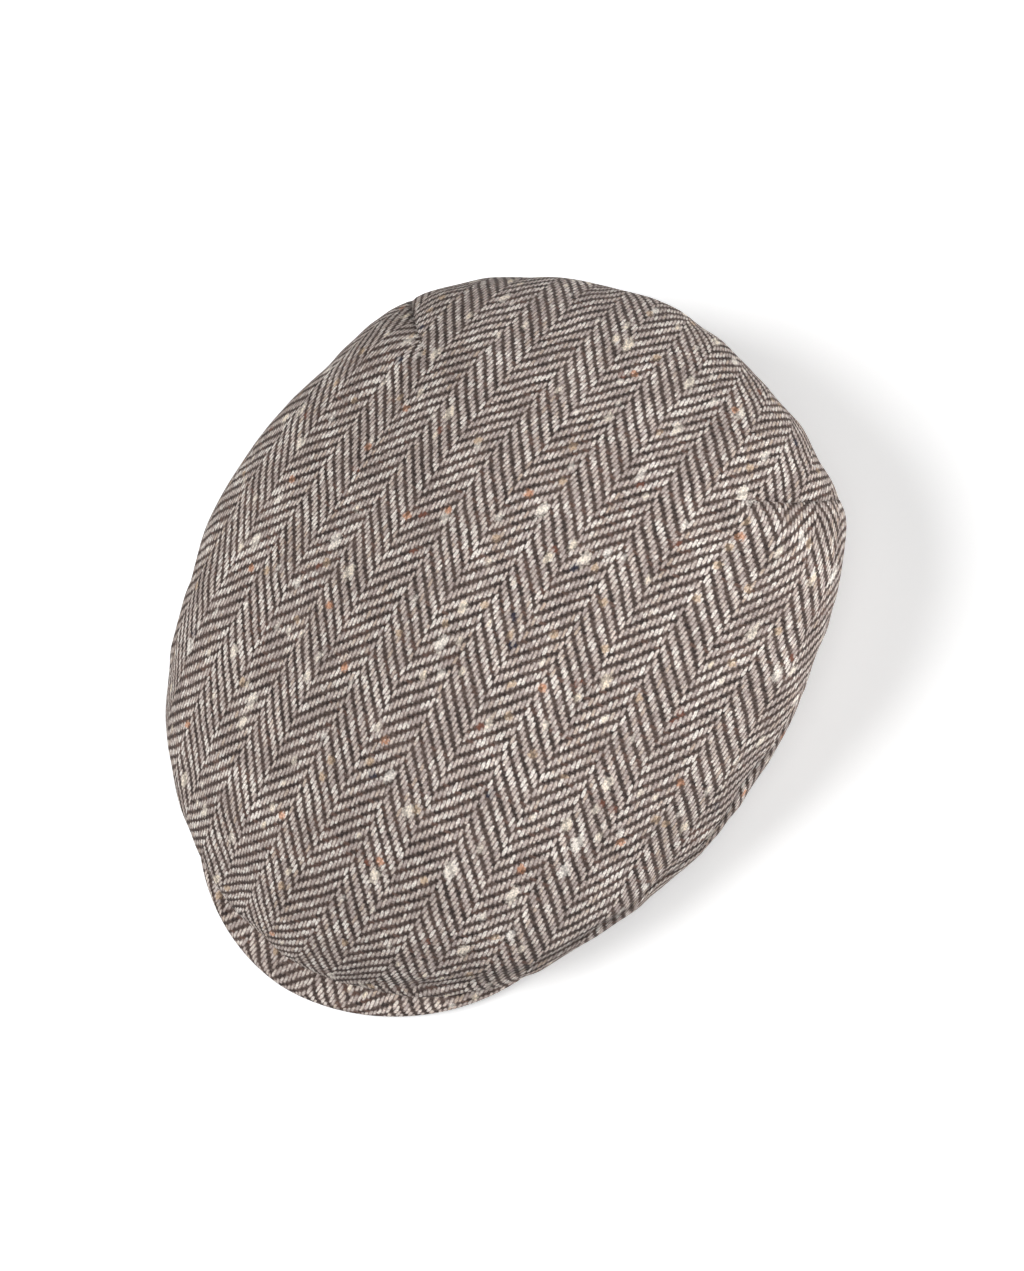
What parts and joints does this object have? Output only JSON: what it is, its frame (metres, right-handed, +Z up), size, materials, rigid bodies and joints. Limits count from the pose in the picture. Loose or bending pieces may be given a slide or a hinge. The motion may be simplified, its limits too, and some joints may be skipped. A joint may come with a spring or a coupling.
{
  "type": "flat cap",
  "caption": "Soft flat cap in herringbone tweed with a rounded one-piece crown, back darts, a thin arched peak under its front roll and an open head hollow.",
  "frame": {"origin": "on the surface the cap rests on, under the middle of its outline", "axes": "+X towards the wearer's left, -Y towards the peak, +Z up from the hem to the crown"},
  "size_m": [0.2212, 0.266, 0.1],
  "materials": {
    "crown_tweed": "matte wool tweed, brown and light grey herringbone with coloured flecks",
    "peak_tweed": "matte wool tweed, brown and light grey herringbone with coloured flecks"
  },
  "bodies": {
    "root": {"crown": "crown_tweed", "peak": "peak_tweed"}
  },
  "joints": []
}
